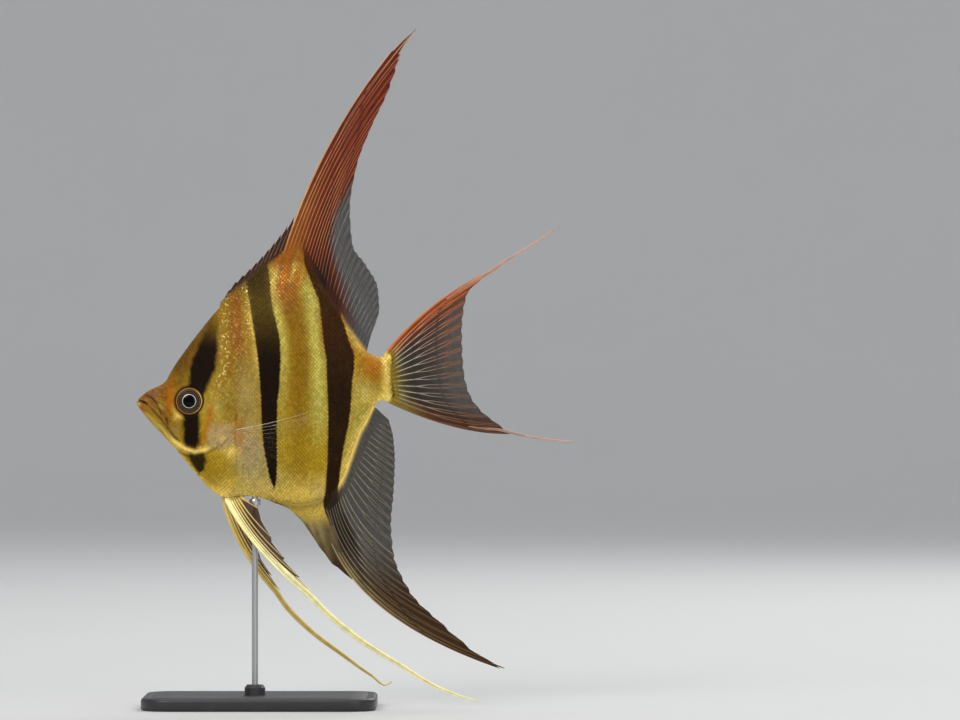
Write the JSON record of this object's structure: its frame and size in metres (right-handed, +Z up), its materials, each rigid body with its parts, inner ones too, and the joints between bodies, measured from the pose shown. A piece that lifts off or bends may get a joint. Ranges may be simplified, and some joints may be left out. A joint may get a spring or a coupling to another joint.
{
  "type": "freshwater angelfish",
  "caption": "Still, life-size freshwater angelfish with tall swept fins and dark flank bars, held above a flat base by one slim rod.",
  "frame": {"origin": "centre of the whole model's box in X and Y, at the underside of the stand's base", "axes": "+X from the fish's snout towards its tail, +Z up, the fish's left side faces -Y"},
  "size_m": [0.2108, 0.076, 0.3262],
  "materials": {
    "skin": "golden, satin, finely scaled, with near-black bars",
    "eye": "glossy, dark iris with silver-gold rings round a black pupil",
    "fin_red": "thin rayed web, orange-red to maroon",
    "fin_smoky": "thin rayed web, smoky brown and part clear",
    "fin_pale": "opaque lemon-cream rays",
    "fin_clear": "almost clear web with fine pale rays",
    "stand_paint": "satin black",
    "stand_steel": "fine brushed"
  },
  "bodies": {
    "root": {"head": "skin", "lower_jaw": "skin", "trunk": "skin", "tail_base": "skin", "eye_left": "eye", "eye_right": "eye", "gill_cover_left": "skin", "gill_cover_right": "skin", "pectoral_fin_left": "fin_clear", "pectoral_fin_right": "fin_clear", "pelvic_fin_left": "fin_pale", "pelvic_fin_right": "fin_pale", "pelvic_filament_left": "fin_pale", "pelvic_filament_right": "fin_pale", "dorsal_fin_spines": "fin_red", "dorsal_fin_lobe": "fin_red", "dorsal_fin_rear": "fin_smoky", "anal_fin_spines": "skin", "anal_fin_lobe": "fin_smoky", "anal_fin_rear": "fin_smoky", "caudal_fin": "fin_red", "caudal_filament_upper": "fin_red", "caudal_filament_lower": "fin_red", "stand_base": "stand_paint", "stand_boss": "stand_paint", "stand_rod": "stand_steel", "stand_collar": "stand_steel"}
  },
  "joints": []
}
